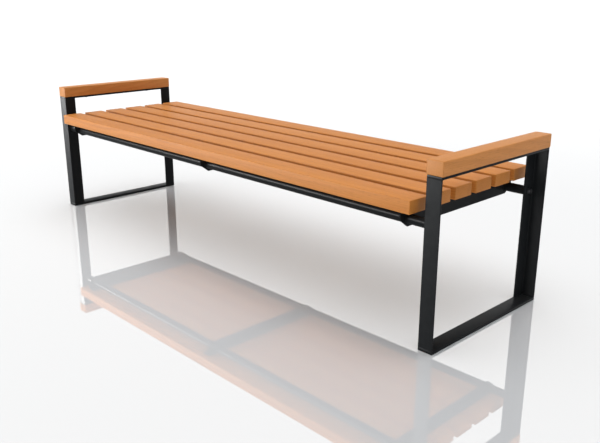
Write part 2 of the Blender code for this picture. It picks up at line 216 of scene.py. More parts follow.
def board_grain_group() -> bpy.types.NodeTree:
    """Build the shader group that gives solid hardwood: growth rings, fibres, pores and slow tone.

    Returns:
        The group. Its Vector has the grain along X, in metres.
    """
    tree, nt, given, out = new_group(
        "board_grain", "ShaderNodeTree",
        (("Vector", VECTOR, None), ("Board", FLOAT, 0.0), ("Ring Spacing", FLOAT, 0.004),
         ("Wander", FLOAT, 0.010)),
        (("Rings", FLOAT), ("Fibres", FLOAT), ("Pores", FLOAT), ("Tone", FLOAT), ("Board Tone", FLOAT)))
    coords = given.outputs["Vector"]
    chance = nt.add("ShaderNodeTexWhiteNoise", {"noise_dimensions": "1D"}, W=given.outputs["Board"])
    parts = nt.add("ShaderNodeSeparateColor", {}, Color=chance.outputs["Color"])
    red, green, blue = parts.outputs[0], parts.outputs[1], parts.outputs[2]
    shift = nt.add("ShaderNodeCombineXYZ", {}, X=nt.math("MULTIPLY", red, 9.0),
                   Y=nt.math("MULTIPLY", green, 5.0), Z=nt.math("MULTIPLY", blue, 7.0)).outputs[0]
    own = nt.vector("ADD", coords, shift)

    slow = nt.vector("MULTIPLY", own, (0.9, 6.0, 6.0))
    wander = nt.math("MULTIPLY", nt.math("SUBTRACT", nt.noise(slow, 1.0, 3.0), 0.5), given.outputs["Wander"])
    axes = nt.add("ShaderNodeSeparateXYZ", {}, Vector=coords)
    lean = nt.math("MULTIPLY", axes.outputs[0], nt.math("MULTIPLY", nt.math("SUBTRACT", blue, 0.5), 0.05))
    pith_y = nt.math("MULTIPLY", nt.math("SUBTRACT", red, 0.5), 0.62)
    pith_z = nt.math("ADD", nt.math("MULTIPLY", green, -0.22), 0.37)
    off_y = nt.math("ADD", nt.math("SUBTRACT", axes.outputs[1], pith_y), lean)
    off_z = nt.math("SUBTRACT", axes.outputs[2], pith_z)
    radius = nt.math("SQRT", nt.math("ADD", nt.math("POWER", off_y, 2.0), nt.math("POWER", off_z, 2.0)))
    radius = nt.math("ADD", radius, nt.math("MULTIPLY", wander, 3.0))
    phase = nt.math("FRACT", nt.math("DIVIDE", radius, given.outputs["Ring Spacing"]))
    late = nt.math("SUBTRACT", nt.ramp(phase, 0.25, 0.86), nt.ramp(phase, 0.90, 1.0))
    strength = nt.ramp(nt.noise(nt.vector("MULTIPLY", own, (0.7, 30.0, 30.0)), 1.0), 0.3, 0.7, 0.35, 1.0)
    nt.link(nt.math("MULTIPLY", late, strength), out.inputs["Rings"])

    coarse = nt.noise(nt.vector("MULTIPLY", own, (7.0, 420.0, 420.0)), 1.0, 3.0, 0.6)
    fine = nt.noise(nt.vector("MULTIPLY", own, (22.0, 1500.0, 1500.0)), 1.0, 2.0, 0.6)
    fibres = nt.math("ADD", nt.math("MULTIPLY", coarse, 0.6), nt.math("MULTIPLY", fine, 0.4))
    nt.link(nt.ramp(fibres, 0.32, 0.68), out.inputs["Fibres"])

    cells = nt.noise(nt.vector("MULTIPLY", own, (45.0, 1900.0, 1900.0)), 1.0, 1.0, 0.4)
    nt.link(nt.ramp(cells, 0.63, 0.72), out.inputs["Pores"])

    tone = nt.noise(nt.vector("MULTIPLY", own, (1.6, 26.0, 26.0)), 1.0, 3.0, 0.55)
    nt.link(nt.ramp(tone, 0.25, 0.75), out.inputs["Tone"])
    nt.link(red, out.inputs["Board Tone"])
    return tree


def settled_dust_group() -> bpy.types.NodeTree:
    """Build the shader group that gives dust on faces that look up, and uneven handling marks.

    Returns:
        The group.
    """
    tree, nt, given, out = new_group(
        "settled_dust", "ShaderNodeTree", (("Vector", VECTOR, None), ("Patch Size", FLOAT, 0.05)),
        (("Dust", FLOAT), ("Marks", FLOAT)))
    facing = nt.add("ShaderNodeNewGeometry").outputs["Normal"]
    up = nt.add("ShaderNodeSeparateXYZ", {}, Vector=facing).outputs[2]
    spread = nt.vector("DIVIDE", given.outputs["Vector"], nt.add(
        "ShaderNodeCombineXYZ", {}, **{axis: given.outputs["Patch Size"] for axis in "XYZ"}).outputs[0])
    patches = nt.ramp(nt.noise(spread, 1.0, 4.0, 0.6), 0.35, 0.75)
    nt.link(nt.math("MULTIPLY", nt.ramp(up, 0.4, 1.0), patches), out.inputs["Dust"])
    nt.link(nt.ramp(nt.noise(spread, 2.3, 5.0, 0.65), 0.4, 0.7), out.inputs["Marks"])
    return tree


# ---- finishes


@dataclass(frozen=True)
class WoodFinish:
    """Oiled, planed hardwood."""

    name: str = "oiled_hardwood"
    grain: Grain = Grain.ALONG_X
    light: Colour = (0.700, 0.272, 0.052)
    dark: Colour = (0.480, 0.152, 0.022)
    pore: Colour = (0.230, 0.070, 0.018)
    roughness: float = 0.50
    ring_spacing: float = 0.0052

    def material(self, grain_group: bpy.types.NodeTree) -> bpy.types.Material:
        """Build the material.

        Args:
            grain_group: the board_grain group.

        Returns:
            The material.
        """
        made, nt, shader, coords = new_material(self.name)
        turned = nt.add("ShaderNodeMapping", {}, Vector=coords)
        turned.inputs["Rotation"].default_value = (0.0, 0.0, math.radians(self.grain.value))
        board = nt.add("ShaderNodeAttribute", {"attribute_name": "board"}).outputs["Fac"]
        grain = nt.add("ShaderNodeGroup", {"node_tree": grain_group}, Vector=turned.outputs[0], Board=board)
        grain.inputs["Ring Spacing"].default_value = self.ring_spacing
        rings, fibres, pores, tone, board_tone = (grain.outputs[name] for name in (
            "Rings", "Fibres", "Pores", "Tone", "Board Tone"))
        depth = nt.math("ADD", nt.math("MULTIPLY", rings, 0.34), nt.math("MULTIPLY", fibres, 0.26))
        depth = nt.math("ADD", depth, nt.math("MULTIPLY", tone, 0.24))
        depth = nt.math("ADD", depth, nt.math("MULTIPLY", board_tone, 0.10), clamp=True)
        colour = nt.mix(depth, self.light, self.dark)
        colour = nt.mix(nt.math("MULTIPLY", pores, 0.5), colour, self.pore)
        nt.link(colour, shader.inputs["Base Color"])
        rough = nt.math("ADD", nt.math("MULTIPLY", fibres, 0.10), nt.math("MULTIPLY", rings, -0.06))
        nt.link(nt.math("ADD", rough, self.roughness), shader.inputs["Roughness"])
        height = nt.math("ADD", nt.math("MULTIPLY", fibres, 0.35), nt.math("MULTIPLY", rings, 0.25))
        height = nt.math("SUBTRACT", height, pores)
        bump = nt.add("ShaderNodeBump", {}, Height=height, Strength=0.35, Distance=0.0002)
        nt.link(bump.outputs[0], shader.inputs["Normal"])
        shader.inputs["Specular IOR Level"].default_value = 0.25
        return made


@dataclass(frozen=True)
class PowderCoatFinish:
    """Fine-textured anthracite powder coat."""

    name: str = "anthracite_powder_coat"
    base: Colour = (0.0135, 0.0150, 0.0162)
    scuffed: Colour = (0.0175, 0.0190, 0.0202)
    dust: Colour = (0.060, 0.058, 0.055)
    roughness: float = 0.34
    speckle_size: float = 0.0011

    def material(self, dust_group: bpy.types.NodeTree) -> bpy.types.Material:
        """Build the material.

        Args:
            dust_group: the settled_dust group.

        Returns:
            The material.
        """
        made, nt, shader, coords = new_material(self.name)
        film = nt.add("ShaderNodeGroup", {"node_tree": dust_group}, Vector=coords)
        dust, marks = film.outputs["Dust"], film.outputs["Marks"]
        speckle = nt.noise(coords, 1.0 / self.speckle_size, 3.0, 0.6)
        peel = nt.noise(coords, 0.25 / self.speckle_size, 1.0)
        colour = nt.mix(nt.math("MULTIPLY", marks, 0.5), self.base, self.scuffed)
        colour = nt.mix(nt.math("MULTIPLY", nt.ramp(speckle, 0.55, 0.75), 0.3), colour, self.scuffed)
        colour = nt.mix(nt.math("MULTIPLY", dust, 0.10), colour, self.dust)
        nt.link(colour, shader.inputs["Base Color"])
        rough = nt.math("ADD", nt.math("MULTIPLY", marks, 0.03), nt.math("MULTIPLY", dust, 0.12))
        nt.link(nt.math("ADD", rough, self.roughness), shader.inputs["Roughness"])
        height = nt.math("ADD", nt.math("MULTIPLY", speckle, 0.7), nt.math("MULTIPLY", peel, 0.6))
        bump = nt.add("ShaderNodeBump", {}, Height=height, Strength=0.20, Distance=0.00010)
        nt.link(bump.outputs[0], shader.inputs["Normal"])
        shader.inputs["Specular IOR Level"].default_value = 0.03
        return made


@dataclass(frozen=True)
class BlackZincFinish:
    """Black zinc-plated fasteners, a little rubbed."""

    name: str = "black_zinc"
    plated: Colour = (0.055, 0.056, 0.060)
    rubbed: Colour = (0.180, 0.180, 0.182)
    roughness: float = 0.38

    def material(self, dust_group: bpy.types.NodeTree) -> bpy.types.Material:
        """Build the material.

        Args:
            dust_group: the settled_dust group.

        Returns:
            The material.
        """
        made, nt, shader, coords = new_material(self.name)
        film = nt.add("ShaderNodeGroup", {"node_tree": dust_group}, Vector=coords)
        film.inputs["Patch Size"].default_value = 0.008
        grit = nt.noise(coords, 1800.0)
        colour = nt.mix(nt.math("MULTIPLY", film.outputs["Marks"], 0.5), self.plated, self.rubbed)
        nt.link(colour, shader.inputs["Base Color"])
        nt.link(nt.math("ADD", nt.math("MULTIPLY", grit, 0.14), self.roughness), shader.inputs["Roughness"])
        bump = nt.add("ShaderNodeBump", {}, Height=grit, Strength=0.3, Distance=0.00005)
        nt.link(bump.outputs[0], shader.inputs["Normal"])
        shader.inputs["Metallic"].default_value = 1.0
        return made


@dataclass(frozen=True)
class FloorFinish:
    """Polished pale studio floor, as strong a mirror from above as from the side."""

    name: str = "polished_pale_floor"
    colour: Colour = (0.672, 0.657, 0.638)
    mirror: float = 0.537

    def material(self) -> bpy.types.Material:
        """Build the material."""
        made, nt, shader, coords = new_material(self.name)
        nt.link(nt.math("MULTIPLY", nt.noise(coords, 1.5), 0.01), shader.inputs["Roughness"])
        shader.inputs["Base Color"].default_value = (*self.colour, 1.0)
        shader.inputs["Metallic"].default_value = self.mirror
        shader.inputs["IOR"].default_value = 1.0
        return made


def new_material(name: str) -> tuple[bpy.types.Material, Tree, bpy.types.Node, bpy.types.NodeSocket]:
    """Return a new material, its tree's writer, its Principled shader and its Object coordinates."""
    made = bpy.data.materials.new(name)
    made.use_nodes = True
    nt = Tree(made.node_tree)
    return made, nt, made.node_tree.nodes["Principled BSDF"], nt.add("ShaderNodeTexCoord").outputs["Object"]


# ---- mesh tools


def linked(name: str, mesh: bpy.types.Mesh) -> bpy.types.Object:
    """Return a new object for a mesh, in the scene."""
    made = bpy.data.objects.new(name, mesh)
    bpy.context.scene.collection.objects.link(made)
    return made


def from_bmesh(name: str, shape: bmesh.types.BMesh, smooth_angle: float = 35.0) -> bpy.types.Object:
    """Turn a bmesh into an object with outward normals, smooth across gentle edges.

    Args:
        name: the object's name.
        shape: the bmesh, which is freed.
        smooth_angle: the angle in degrees above which an edge stays sharp.

    Returns:
        The object.
    """
    bmesh.ops.remove_doubles(shape, verts=shape.verts, dist=1e-6)
    bmesh.ops.recalc_face_normals(shape, faces=shape.faces)
    mesh = bpy.data.meshes.new(name)
    shape.to_mesh(mesh)
    shape.free()
    mesh.shade_smooth()
    mesh.set_sharp_from_angle(angle=math.radians(smooth_angle))
    return linked(name, mesh)


def settle(piece: bpy.types.Object) -> bpy.types.Object:
    """Turn an object's evaluated shape into its plain mesh and remove its modifiers."""
    bpy.context.view_layer.update()
    evaluated = piece.evaluated_get(bpy.context.evaluated_depsgraph_get())
    mesh = bpy.data.meshes.new_from_object(evaluated)
    mesh.name = piece.name
    piece.modifiers.clear()
    piece.data = mesh
    return piece


def soften(piece: bpy.types.Object, width: float) -> bpy.types.Object:
    """Round an object's sharp edges and keep the result as its mesh."""
    bevel = piece.modifiers.new("soft_edges", "BEVEL")
    bevel.width = width
    bevel.segments = 2
    bevel.limit_method = "ANGLE"
    bevel.angle_limit = math.radians(50.0)
    bevel.harden_normals = True
    return settle(piece)


def place(piece: bpy.types.Object, material: bpy.types.Material,
          nodes: Iterable[str] = ()) -> None:
    """Dress a finished piece and tie it to the frame.

    Args:
        piece: the finished object, at the origin.
        material: its material.
        nodes: the CAD nodes that it stands for.
    """
    piece.data.materials.clear()
    piece.data.materials.append(material)
    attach(piece, BODY)
    names = list(nodes)
    if names:
        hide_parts(*names)
    log.info("%s: %d faces, stands for %d solids", piece.name, len(piece.data.polygons), len(names))


def rounded_box(low: Vector, high: Vector, radius: float, segments: int = 3) -> bmesh.types.BMesh:
    """Return a box between two corners with every edge rounded."""
    shape = bmesh.new()
    bmesh.ops.create_cube(shape, size=1.0)
    for vertex in shape.verts:
        vertex.co = Vector([a + (b - a) * (c + 0.5) for a, b, c in zip(low, high, vertex.co)])
    bmesh.ops.bevel(shape, geom=shape.edges[:], offset=radius, segments=segments, profile=0.5,
                    affect="EDGES")
    return shape


def hexagon(angle: float) -> float:
    """Return a hexagon's reach at an angle, as a share of its corner radius."""
    past = (angle + math.pi / 6) % (math.pi / 3) - math.pi / 6
    return math.cos(math.pi / 6) / math.cos(math.pi / 6 - abs(past))


@dataclass(frozen=True)
class Level:
    """One level of a turned shape: a circle or a hexagon about Z, or a point where its radius is 0.

    The chamfer lowers a hexagon's corners, by that share of how far they reach past its flats.
    """

    radius: float
    height: float
    hexagonal: bool = False
    chamfer: float = 0.0

    def ring(self, shape: bmesh.types.BMesh, sides: int) -> list[bmesh.types.BMVert]:
        """Return the level's new vertices."""
        if self.radius == 0.0:
            return [shape.verts.new((0.0, 0.0, self.height))]
        vertices = []
        for step in range(sides):
            angle = 2 * math.pi * step / sides
            reach = self.radius * hexagon(angle) if self.hexagonal else self.radius
            drop = (reach - self.radius * math.cos(math.pi / 6)) * self.chamfer
            spot = (reach * math.cos(angle), reach * math.sin(angle), self.height - drop)
            vertices.append(shape.verts.new(spot))
        return vertices


def lathe(levels: Sequence[Level], sides: int, hollow: bool = False) -> bmesh.types.BMesh:
    """Turn a shape about Z.

    Args:
        levels: its levels in order.
        sides: the number of vertices round each.
        hollow: whether the last level is joined back to the first, instead of both being closed.

    Returns:
        The shape.
    """
    shape = bmesh.new()
    rings = [level.ring(shape, sides) for level in levels]
    ends = [ring for ring in (rings[0], rings[-1]) if len(ring) > 1 and not hollow]
    if hollow:
        rings.append(rings[0])
    for below, above in zip(rings, rings[1:]):
        for step in range(sides):
            nxt = (step + 1) % sides
            corners = [below[step % len(below)], below[nxt % len(below)],
                       above[nxt % len(above)], above[step % len(above)]]
            shape.faces.new(list(dict.fromkeys(corners)))
    for ring in ends:
        shape.faces.new(ring)
    return shape


def along_x(x: float, centre: Vector, way: int = 1) -> Matrix:
    """Return the move that lays Z along X, forward or back, from an X on the line through a centre."""
    return Matrix.Translation((x, centre.y, centre.z)) @ Matrix.Rotation(way * math.pi / 2, 4, "Y")


def add_shape(target: bmesh.types.BMesh, source: bmesh.types.BMesh, matrix: Matrix) -> None:
    """Add one bmesh to another, moved by a matrix, and free it."""
    passing = bpy.data.meshes.new("passing")
    source.to_mesh(passing)
    source.free()
    passing.transform(matrix)
    if matrix.determinant() < 0:
        passing.flip_normals()
    target.from_mesh(passing)
    bpy.data.meshes.remove(passing)


def rounded_outline(corners: Sequence[Point2], radii: Sequence[float], steps: int = 5) -> list[Point2]:
    """Return a closed outline with each corner rounded to its own radius.

    Args:
        corners: the outline's corners in order.
        radii: one radius for each corner, 0 for a sharp one.
        steps: the number of chords in a rounded corner.

    Returns:
        The outline's points.
    """
    outline: list[Point2] = []
    for index, (corner, radius) in enumerate(zip(corners, radii)):
        here = Vector(corner)
        if radius == 0.0:
            outline.append((here.x, here.y))
            continue
        back = (Vector(corners[index - 1]) - here).normalized()
        ahead = (Vector(corners[(index + 1) % len(corners)]) - here).normalized()
        half = math.acos(max(-1.0, min(1.0, back.dot(ahead)))) / 2
        centre = here + (back + ahead).normalized() * (radius / math.sin(half))
        first = here + back * (radius / math.tan(half)) - centre
        last = here + ahead * (radius / math.tan(half)) - centre
        start, end = math.atan2(first.y, first.x), math.atan2(last.y, last.x)
        sweep = (end - start + math.pi) % (2 * math.pi) - math.pi
        for step in range(steps + 1):
            angle = start + sweep * step / steps
            outline.append((centre.x + radius * math.cos(angle), centre.y + radius * math.sin(angle)))
    return outline


def prism(outline: Sequence[Point2], low: float, high: float, matrix: Matrix) -> bmesh.types.BMesh:
    """Return an outline in XY extruded along Z between two heights, then moved by a matrix."""
    shape = bmesh.new()
    bottom = [shape.verts.new((x, y, low)) for x, y in outline]
    top = [shape.verts.new((x, y, high)) for x, y in outline]
    count = len(outline)
    shape.faces.new(bottom)
    shape.faces.new(top)
    for step in range(count):
        nxt = (step + 1) % count
        shape.faces.new((bottom[step], bottom[nxt], top[nxt], top[step]))
    shape.transform(matrix)
    return shape


def subtract(piece: bpy.types.Object, cutter_shape: bmesh.types.BMesh) -> None:
    """Cut a closed shape out of a piece and keep the result as its mesh."""
    cutter = from_bmesh("cutter", cutter_shape)
    modifier = piece.modifiers.new("cut", "BOOLEAN")
    modifier.operation = "DIFFERENCE"
    modifier.solver = "EXACT"
    modifier.object = cutter
    settle(piece)
    bpy.data.objects.remove(cutter)


@dataclass(frozen=True)
class AngleSection:
    """The cross-section of a rolled steel angle, its heel at the origin."""

    first_leg: float
    second_leg: float
    wall: float
    root_radius: float
    toe_radius: float
    heel_radius: float = 0.0008

    def outline(self) -> list[Point2]:
        """Return the outline, its first leg along X and its second along Y."""
        corners = [(0.0, 0.0), (self.first_leg, 0.0), (self.first_leg, self.wall), (self.wall, self.wall),
                   (self.wall, self.second_leg), (0.0, self.second_leg)]
        heel, toe = self.heel_radius, self.toe_radius
        return rounded_outline(corners, [heel, heel, toe, self.root_radius, toe, heel])


# ---- geometry node trees


def set_inputs(piece: bpy.types.Object, tree: bpy.types.NodeTree, values: dict) -> bpy.types.Object:
    """Add a Geometry Nodes modifier, give its inputs by name, and keep the result as the mesh."""
    modifier = piece.modifiers.new("build", "NODES")
    modifier.node_group = tree
    for item in tree.interface.items_tree:
        if item.item_type == "SOCKET" and item.in_out == "INPUT" and item.name in values:
            modifier[item.identifier] = values[item.name]
    return settle(piece)


def repeat_tree() -> bpy.types.NodeTree:
    """Build the tree that lays copies of a shape in a row along Y, each numbered and turned by chance.

    Returns:
        The tree.
    """
    tree, nt, given, out = new_group(
        "repeat_in_row", "GeometryNodeTree",
        (("Geometry", GEOMETRY, None), ("Count", INTEGER, 1), ("Step", FLOAT, 0.0), ("First", VECTOR, None),
         ("Turn", FLOAT, 0.0), ("Seed", INTEGER, 7), ("Material", MATERIAL, None)),
        (("Geometry", GEOMETRY),))
    row = nt.add("GeometryNodeMeshLine", {"mode": "OFFSET"}, Count=given.outputs["Count"],
                 Start_Location=given.outputs["First"],
                 Offset=nt.add("ShaderNodeCombineXYZ", {}, Y=given.outputs["Step"]).outputs[0])
    chance = nt.add("FunctionNodeRandomValue", {"data_type": "FLOAT"}, Seed=given.outputs["Seed"])
    turn = nt.add("ShaderNodeCombineXYZ", {}, Z=nt.math("MULTIPLY", chance.outputs[1], given.outputs["Turn"]))
    copies = nt.add("GeometryNodeInstanceOnPoints", {}, Points=row.outputs[0],
                    Instance=given.outputs["Geometry"], Rotation=turn.outputs[0])
    index = nt.add("GeometryNodeInputIndex").outputs[0]
    numbered = nt.add("GeometryNodeStoreNamedAttribute", {"data_type": "FLOAT", "domain": "INSTANCE"},
                      Geometry=copies.outputs[0], Name="board", Value=index)
    finish_tree(nt, numbered, given, out)
    return tree


def finish_tree(nt: Tree, last: bpy.types.Node, given: bpy.types.Node, out: bpy.types.Node) -> None:
    """End a Geometry Nodes tree: make its instances real and give them its material.

    Args:
        nt: the tree's writer.
        last: the node that gives the shape.
        given: the tree's input node.
        out: the tree's output node.
    """
    whole = nt.add("GeometryNodeRealizeInstances", {}, Geometry=last.outputs[0])
    dressed = nt.add("GeometryNodeSetMaterial", {}, Geometry=whole.outputs[0],
                     Material=given.outputs["Material"])
    nt.link(dressed.outputs[0], out.inputs[0])


def weld_tree() -> bpy.types.NodeTree:
    """Build the tree that runs a rippled weld bead along every edge path of a mesh.

    Returns:
        The tree.
    """
    tree, nt, given, out = new_group(
        "weld_bead", "GeometryNodeTree",
        (("Geometry", GEOMETRY, None), ("Radius", FLOAT, 0.0025), ("Step", FLOAT, 0.0006),
         ("Ripple Pitch", FLOAT, 0.0022), ("Ripple Depth", FLOAT, 0.16), ("Seed", FLOAT, 3.0),
         ("Material", MATERIAL, None)),
        (("Geometry", GEOMETRY),))
    path = nt.add("GeometryNodeMeshToCurve", {}, Mesh=given.outputs["Geometry"])
    fine = nt.add("GeometryNodeResampleCurve", {"mode": "LENGTH"}, Curve=path.outputs[0],
                  Length=given.outputs["Step"])
    along = nt.add("GeometryNodeSplineParameter").outputs["Length"]
    phase = nt.math("MULTIPLY", nt.math("DIVIDE", along, given.outputs["Ripple Pitch"]), 2 * math.pi)
    wave = nt.math("MULTIPLY", nt.math("SINE", phase), given.outputs["Ripple Depth"])
    where = nt.add("GeometryNodeInputPosition").outputs[0]
    uneven = nt.add("ShaderNodeTexNoise", {"noise_dimensions": "4D"}, Vector=where, W=given.outputs["Seed"],
                    Scale=90.0).outputs[0]
    size = nt.math("ADD", nt.math("ADD", wave, 0.72), nt.math("MULTIPLY", uneven, 0.5))
    section = nt.add("GeometryNodeCurvePrimitiveCircle", {}, Resolution=10, Radius=1.0)
    bead = nt.add("GeometryNodeCurveToMesh", {}, Curve=fine.outputs[0], Profile_Curve=section.outputs[0],
                  Scale=nt.math("MULTIPLY", size, given.outputs["Radius"]), Fill_Caps=True)
    smooth = nt.add("GeometryNodeSetShadeSmooth", {}, Geometry=bead.outputs[0])
    finish_tree(nt, smooth, given, out)
    return tree


# ---- sub-assemblies


@dataclass(frozen=True)
class WoodScrew:
    """A wood screw with a domed head and a hexagon socket."""

    head_radius: float
    head_height: float
    shank_radius: float
    socket_radius: float
    socket_depth: float

    def build(self, low: Vector, high: Vector) -> tuple[bmesh.types.BMesh, Vector]:
        """Make the screw.

        Args:
            low: its solid's low corner.
            high: its solid's high corner.

        Returns:
            The screw about Z, its tip up and its head hanging below zero, and the place of that zero.
        """
        head, shank, socket = self.head_height, self.shank_radius, self.socket_radius
        length = high.z - low.z - head
        steps = 6
        levels = [Level(0.0, -head + self.socket_depth), Level(socket, -head + self.socket_depth, True),
                  Level(socket, -head * 0.985, True)]
        for step in range(steps + 1):
            angle = math.radians(20 + 70 * step / steps)
            drop = head * (0.12 + 0.88 * math.cos(angle) ** 0.8)
            levels.append(Level(self.head_radius * math.sin(angle), -drop))
        levels += [Level(self.head_radius, -0.0001), Level(self.head_radius - 0.0002, 0.0), Level(shank, 0.0),
                   Level(shank, length - 3 * shank), Level(0.0, length)]
        return lathe(levels, 36), Vector(((low.x + high.x) / 2, (low.y + high.y) / 2, low.z + head))


@dataclass
class Seat:
    """The six slats and the screws under them."""

    edge_radius: float = 0.0022
    screw: WoodScrew = WoodScrew(0.00625, 0.0034, 0.003, 0.0024, 0.0018)

    def build(self, repeat: bpy.types.NodeTree, wood: bpy.types.Material, zinc: bpy.types.Material) -> None:
        """Make the slats and their screws.

        Args:
            repeat: the repeat_in_row tree.
            wood: the slats' material.
            zinc: the screws' material.
        """
        low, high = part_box(SLATS[0])
        next_low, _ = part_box(SLATS[1])
        middle = (low + high) / 2
        slats = from_bmesh("slats", rounded_box(low - middle, high - middle, self.edge_radius, 4))
        slats = set_inputs(slats, repeat, {"Count": len(SLATS), "Step": next_low.y - low.y,
                                           "First": tuple(middle), "Material": wood})
        place(slats, wood, SLATS)
        self.build_screws(repeat, zinc)

    def build_screws(self, repeat: bpy.types.NodeTree, zinc: bpy.types.Material) -> None:
        """Make the slat screws, one for each crossing of a slat and a cross member."""
        for member in MEMBERS:
            nodes = [f"{member}_slat_screw_{index + 1}" for index in range(len(SLATS))]
            low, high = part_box(nodes[0])
            shape, first = self.screw.build(low, high)
            screws = set_inputs(from_bmesh(f"{member}_slat_screws", shape), repeat, {
                "Count": len(SLATS), "Step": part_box(nodes[1])[0].y - low.y, "First": tuple(first),
                "Turn": math.pi, "Material": zinc})
            place(screws, zinc, nodes)


@dataclass
class EndFrame:
    """One steel hoop with its wooden armrest."""

    name: str
    end: int
    board: float
    section: AngleSection = field(default_factory=lambda: AngleSection(0.050, 0.050, 0.006, 0.006, 0.003))
    rail_edge: float = 0.0010
    armrest_edge: float = 0.003
    weld_toe: float = 0.002
    weld_root: float = 0.004
    weld_paths: list[list[Vector]] = field(default_factory=list)

    def build(self, steel: bpy.types.Material, wood: bpy.types.Material) -> None:
        """Make the posts, rails and armrest, and note where the welds run.

        Args:
            steel: the hoop's material.
            wood: the armrest's material.
        """
        for side_name, side in SIDES.items():
            self.build_post(side_name, side, steel)
        for name in ("bottom_rail", "top_rail"):
            node = f"{self.name}_{name}"
            low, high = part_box(node)
            rail = from_bmesh(f"{node}_bar", rounded_box(low, high, self.rail_edge))
            place(rail, steel, [node])
        node = f"{self.name}_armrest"
        low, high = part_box(node)
        armrest = from_bmesh(f"{node}_board", rounded_box(low, high, self.armrest_edge, 4))
        number_board(armrest, self.board)
        place(armrest, wood, [node])

    def build_post(self, side_name: str, side: int, steel: bpy.types.Material) -> None:
        """Make one angle post and note the welds at its foot and its head."""
        node = f"{self.name}_{side_name}_post"
        low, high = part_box(node)
        heel_x = low.x if self.end > 0 else high.x
        heel_y = low.y if side < 0 else high.y
        turn = Matrix(((self.end, 0, 0, heel_x), (0, -side, 0, heel_y), (0, 0, 1, 0), (0, 0, 0, 1)))
        shape = prism(self.section.outline(), low.z, high.z, turn)
        place(from_bmesh(f"{node}_angle", shape, 50.0), steel, [node])
        wall, tip = self.section.wall, self.section.first_leg - self.weld_toe
        root = wall + self.weld_root
        nook = [(tip, wall), (root, wall), (wall, root), (wall, tip)]
        for height in (low.z, high.z):
            self.weld_paths.append([turn @ Vector((x, y, height)) for x, y in nook])


def number_board(piece: bpy.types.Object, number: float) -> None:
    """Give a board the number that picks its grain."""
    attribute = piece.data.attributes.new("board", "FLOAT", "POINT")
    attribute.data.foreach_set("value", [number] * len(piece.data.vertices))


@dataclass
class UnderFrame:
    """The two tubes and the three cross members under the slats."""

    tube_end_edge: float = 0.0006
    tube_wall: float = 0.0026
    tube_sides: int = 72
    root_radius: float = 0.004
    toe_radius: float = 0.002
    wall: float = 0.005
    corner_edge: float = 0.0006
    hole_gap: float = 0.0003
    hole_half: float = 0.025
    spare: float = 0.02
    weld_reach: float = 0.0006
    weld_paths: list[list[Vector]] = field(default_factory=list)

    def build(self, steel: bpy.types.Material) -> None:
        """Make the tubes and the cross members.

        Args:
            steel: their material.
        """
        tubes = []
        for side_name in SIDES:
            node = f"{side_name}_tube"
            low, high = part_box(node)
            tubes.append(((low + high) / 2, (high.z - low.z) / 2))
            self.build_tube(node, low, high, steel)
        for member in MEMBERS:
            self.build_member(f"{member}_cross_member", tubes, steel)

    def build_tube(self, node: str, low: Vector, high: Vector, steel: bpy.types.Material) -> None:
        """Make one tube, its bore open to the plugs."""
        radius, length, edge = (high.z - low.z) / 2, high.x - low.x, self.tube_end_edge
        bore = radius - self.tube_wall
        levels = [Level(bore, edge), Level(bore + edge, 0.0), Level(radius - edge, 0.0), Level(radius, edge),
                  Level(radius, length - edge), Level(radius - edge, length), Level(bore + edge, length),
                  Level(bore, length - edge)]
        shape = lathe(levels, self.tube_sides, hollow=True)
        shape.transform(along_x(low.x, (low + high) / 2))
        place(from_bmesh(f"{node}_pipe", shape), steel, [node])

    def build_member(self, node: str, tubes: Sequence[tuple[Vector, float]], steel: bpy.types.Material
                     ) -> None:
        """Make one cross member: a rolled angle with clipped lower corners and a hole for each tube."""
        low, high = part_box(node)
        section = AngleSection(high.x - low.x, high.z - low.z, self.wall, self.root_radius, self.toe_radius)
        back = -1 if node.startswith("left") else 1
        back_x = high.x if back > 0 else low.x
        lay = Matrix(((-back, 0, 0, back_x), (0, 0, 1, 0), (0, -1, 0, high.z), (0, 0, 0, 1)))
        piece = from_bmesh(f"{node}_angle", prism(section.outline(), low.y, high.y, lay), 50.0)
        cutter = bmesh.new()
        for centre, radius in tubes:
            reach = radius + self.hole_gap
            hole = lathe([Level(reach, -self.hole_half), Level(reach, self.hole_half)], self.tube_sides)
            add_shape(cutter, hole, along_x(back_x, centre))
        subtract(piece, cutter)
        for centre, _ in tubes:
            away = math.copysign(1.0, centre.y)
            outer_y = high.y if away > 0 else low.y
            far_y = outer_y + away * self.spare
            slope = (centre.z - low.z) / (outer_y - centre.y)
            under_z = low.z - self.spare
            wedge = [(centre.y, low.z), (far_y, low.z + slope * (far_y - centre.y)), (far_y, under_z),
                     (centre.y, under_z)]
            subtract(piece, prism(wedge, low.x - self.spare, high.x + self.spare, XY_ONTO_YZ))
        place(soften(piece, self.corner_edge), steel, [node])
        for centre, radius in tubes:
            for face_x, out in ((back_x, back), (back_x - back * self.wall, -back)):
                ring_x = face_x + out * self.weld_reach
                self.weld_paths.append(self.ring(ring_x, centre, radius + self.weld_reach))

    def ring(self, x: float, centre: Vector, radius: float) -> list[Vector]:
        """Return a closed ring of points about a tube."""
        count = 40
        turns = [2 * math.pi * step / count for step in range(count + 1)]
        return [Vector((x, centre.y + radius * math.cos(a), centre.z + radius * math.sin(a))) for a in turns]


